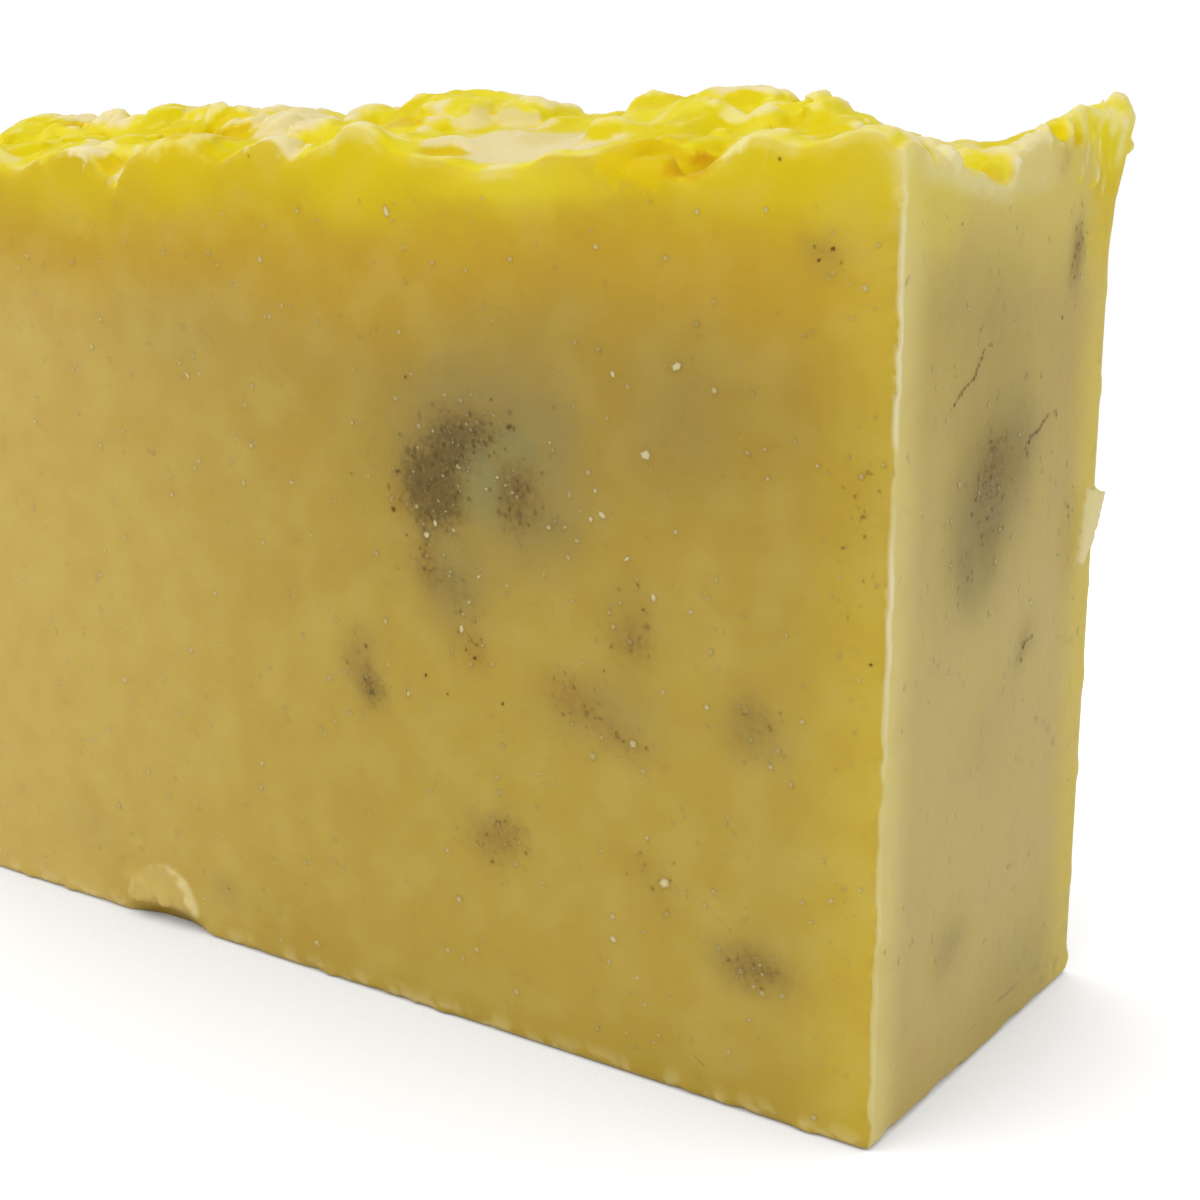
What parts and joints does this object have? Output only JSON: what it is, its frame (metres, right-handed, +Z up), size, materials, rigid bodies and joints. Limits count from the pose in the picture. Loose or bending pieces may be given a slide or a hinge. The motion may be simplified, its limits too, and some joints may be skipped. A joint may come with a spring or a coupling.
{
  "type": "bar of soap",
  "caption": "Thick hand-cut bar of soap with flat cut sides and a rough, lumpy crest along its top.",
  "frame": {"origin": "middle of the resting face of the cut slab", "axes": "+X along the bar to its near end, -Y out of the front face, +Z up to the rough crest"},
  "size_m": [0.0832, 0.032, 0.0583],
  "materials": {
    "soap": "waxy, satin, slightly translucent"
  },
  "bodies": {
    "root": {"soap_bar": "soap"}
  },
  "joints": []
}
